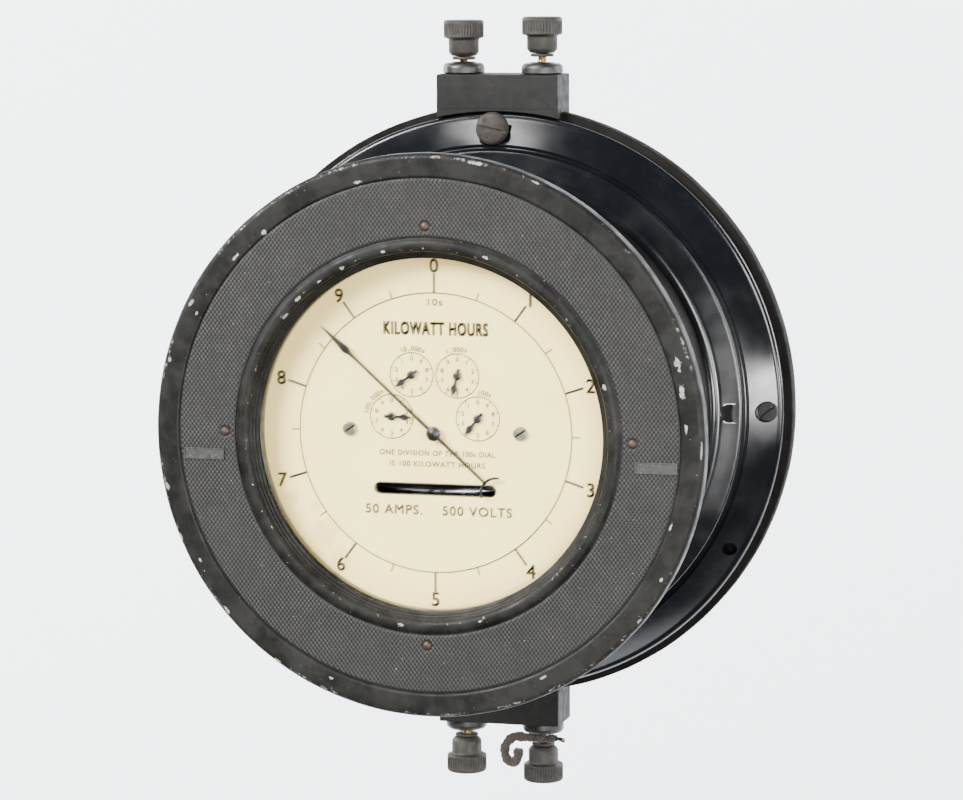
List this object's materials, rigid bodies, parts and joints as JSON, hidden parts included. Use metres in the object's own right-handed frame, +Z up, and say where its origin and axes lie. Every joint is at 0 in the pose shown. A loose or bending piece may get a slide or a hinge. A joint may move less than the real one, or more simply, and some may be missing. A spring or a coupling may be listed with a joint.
{
  "type": "dial electric meter",
  "caption": "Wall-mounted round electricity meter with a glazed dial in a drum-shaped cover, a disc rotor driving geared hands, and terminal blocks with thumb-nut posts above and below.",
  "frame": {"origin": "middle of the flat back of the case, on the wall", "axes": "+Y into the wall, out of the flat back; the dial faces -Y; +Z up along the line of the terminal blocks; +X to the right as seen from the front"},
  "size_m": [0.2552, 0.1365, 0.3318],
  "materials": {
    "case_paint": "dull brown-black paint",
    "block_paint": "worn matte grey-black paint",
    "ebonite": "hard rubber, faded",
    "stud_brass": "bare brass",
    "nut_brass": "browned, knurled",
    "old_cloth": "old cloth covering",
    "drum_paint": "old black japan, rust specks",
    "japan": "gloss black japan",
    "ring_paint": "satin black paint, chipped",
    "glass": "clear flat glass",
    "black_enamel": "gloss black",
    "copper": "copper, dulled",
    "rusty_steel": "rusted",
    "dark_screw": "blackened, slotted",
    "frame_iron": "black painted casting",
    "register_brass": "lacquered brass",
    "laminations": "stacked iron sheet",
    "coil_cotton": "shellacked cotton tape",
    "magnet_steel": "dark varnished steel",
    "disc_aluminium": "turned",
    "spindle_steel": "polished",
    "dial_enamel": "aged cream enamel with printed scales",
    "nickel": "nickel plated, tarnished"
  },
  "bodies": {
    "base": {"back_case": "case_paint", "top_terminal_block": "block_paint", "bottom_terminal_block": "block_paint", "post_bushing_top_left": "ebonite", "post_bushing_top_right": "ebonite", "post_bushing_bottom_left": "ebonite", "post_bushing_bottom_right": "ebonite", "post_stud_top_left": "stud_brass", "post_stud_top_right": "stud_brass", "post_stud_bottom_left": "stud_brass", "post_stud_bottom_right": "stud_brass", "wire_remnant": "old_cloth", "main_frame": "frame_iron", "upper_bearing": "register_brass", "lower_jewel_bearing": "register_brass", "voltage_core": "laminations", "voltage_coil": "coil_cotton", "series_core": "laminations", "current_coil_left": "coil_cotton", "current_coil_right": "coil_cotton", "drag_magnet": "magnet_steel", "register_front_plate": "register_brass", "register_back_plate": "register_brass", "dial_plate": "dial_enamel", "dial_screw_left": "nickel", "dial_screw_right": "nickel"},
    "cover": {"cover_drum": "drum_paint", "cover_skirt": "japan", "front_ring": "ring_paint", "front_glass": "glass", "glass_retaining_ring": "black_enamel", "ring_pin_1": "copper", "ring_pin_2": "copper", "ring_pin_3": "copper", "ring_pin_4": "copper", "clamp_screw_top": "rusty_steel", "clamp_screw_lower_left": "rusty_steel", "flange_screw": "dark_screw", "shoulder_screw": "dark_screw"},
    "rotor": {"rotor_disc": "disc_aluminium", "rotor_spindle": "spindle_steel"},
    "worm_wheel": {"worm_wheel_arbor": "register_brass"},
    "centre_wheel": {"centre_wheel_arbor": "register_brass", "main_hand": "black_enamel"},
    "hundreds_wheel": {"wheel_arbor_hundreds": "register_brass", "hand_hundreds": "black_enamel"},
    "thousands_wheel": {"wheel_arbor_thousands": "register_brass", "hand_thousands": "black_enamel"},
    "ten_thousands_wheel": {"wheel_arbor_ten_thousands": "register_brass", "hand_ten_thousands": "black_enamel"},
    "hundred_thousands_wheel": {"wheel_arbor_hundred_thousands": "register_brass", "hand_hundred_thousands": "black_enamel"},
    "foot_top_left": {"clamp_foot_top_left": "nut_brass"},
    "nut_top_left": {"thumb_nut_top_left": "nut_brass"},
    "foot_top_right": {"clamp_foot_top_right": "nut_brass"},
    "nut_top_right": {"thumb_nut_top_right": "nut_brass"},
    "foot_bottom_left": {"clamp_foot_bottom_left": "nut_brass"},
    "nut_bottom_left": {"thumb_nut_bottom_left": "nut_brass"},
    "foot_bottom_right": {"clamp_foot_bottom_right": "nut_brass"},
    "nut_bottom_right": {"thumb_nut_bottom_right": "nut_brass"}
  },
  "joints": [
    {"name": "cover_slide", "type": "slide", "parent": "base", "child": "cover", "axis": [0, -1, 0], "range_m": [0, 0.13]},
    {"name": "rotor_spin", "type": "hinge", "parent": "base", "child": "rotor", "pos_m": [0, -0.0774, -0.024], "axis": [0, 0, -1], "continuous": true},
    {"name": "worm_wheel_spin", "type": "hinge", "parent": "base", "child": "worm_wheel", "pos_m": [-0.0155, -0.0774, 0.01133], "axis": [0, 1, 0], "continuous": true},
    {"name": "centre_wheel_spin", "type": "hinge", "parent": "base", "child": "centre_wheel", "pos_m": [0, -0.11, 0], "axis": [0, 1, 0], "continuous": true},
    {"name": "hundreds_spin", "type": "hinge", "parent": "base", "child": "hundreds_wheel", "pos_m": [0.0181, -0.115, 0.00641], "axis": [0, 1, 0], "continuous": true},
    {"name": "thousands_spin", "type": "hinge", "parent": "base", "child": "thousands_wheel", "pos_m": [0.0096, -0.115, 0.02363], "axis": [0, 1, 0], "continuous": true},
    {"name": "ten_thousands_spin", "type": "hinge", "parent": "base", "child": "ten_thousands_wheel", "pos_m": [-0.0096, -0.115, 0.02363], "axis": [0, 1, 0], "continuous": true},
    {"name": "hundred_thousands_spin", "type": "hinge", "parent": "base", "child": "hundred_thousands_wheel", "pos_m": [-0.0181, -0.115, 0.00641], "axis": [0, 1, 0], "continuous": true},
    {"name": "foot_slide_top_left", "type": "slide", "parent": "base", "child": "foot_top_left", "axis": [0, 0, 1], "range_m": [-0.0006, 0.0034]},
    {"name": "nut_turn_top_left", "type": "hinge", "parent": "foot_top_left", "child": "nut_top_left", "pos_m": [-0.0173, -0.01105, 0.15], "axis": [0, 0, 1], "range_deg": [-216, 1224]},
    {"name": "foot_slide_top_right", "type": "slide", "parent": "base", "child": "foot_top_right", "axis": [0, 0, 1], "range_m": [-0.0021, 0.003]},
    {"name": "nut_turn_top_right", "type": "hinge", "parent": "foot_top_right", "child": "nut_top_right", "pos_m": [0.0173, -0.01105, 0.15], "axis": [0, 0, 1], "range_deg": [-756, 1080]},
    {"name": "foot_slide_bottom_left", "type": "slide", "parent": "base", "child": "foot_bottom_left", "axis": [0, 0, -1], "range_m": [-0.0015, 0.003]},
    {"name": "nut_turn_bottom_left", "type": "hinge", "parent": "foot_bottom_left", "child": "nut_bottom_left", "pos_m": [-0.0173, -0.01105, -0.15], "axis": [0, 0, -1], "range_deg": [-540, 1080]},
    {"name": "foot_slide_bottom_right", "type": "slide", "parent": "base", "child": "foot_bottom_right", "axis": [0, 0, -1], "range_m": [0, 0.003]},
    {"name": "nut_turn_bottom_right", "type": "hinge", "parent": "foot_bottom_right", "child": "nut_bottom_right", "pos_m": [0.0173, -0.01105, -0.15], "axis": [0, 0, -1], "range_deg": [0, 1080]}
  ],
  "couplings": [
    {"joint": "worm_wheel_spin", "follows": "rotor_spin", "ratio": -0.025},
    {"joint": "centre_wheel_spin", "follows": "rotor_spin", "ratio": 0.0025},
    {"joint": "hundreds_spin", "follows": "rotor_spin", "ratio": -0.00025},
    {"joint": "thousands_spin", "follows": "rotor_spin", "ratio": 0.000025},
    {"joint": "ten_thousands_spin", "follows": "rotor_spin", "ratio": -0.0000025},
    {"joint": "hundred_thousands_spin", "follows": "rotor_spin", "ratio": 0.00000025},
    {"joint": "nut_turn_top_left", "follows": "foot_slide_top_left", "rad_per_m": 6283.2},
    {"joint": "nut_turn_top_right", "follows": "foot_slide_top_right", "rad_per_m": 6283.2},
    {"joint": "nut_turn_bottom_left", "follows": "foot_slide_bottom_left", "rad_per_m": 6283.2},
    {"joint": "nut_turn_bottom_right", "follows": "foot_slide_bottom_right", "rad_per_m": 6283.2}
  ]
}
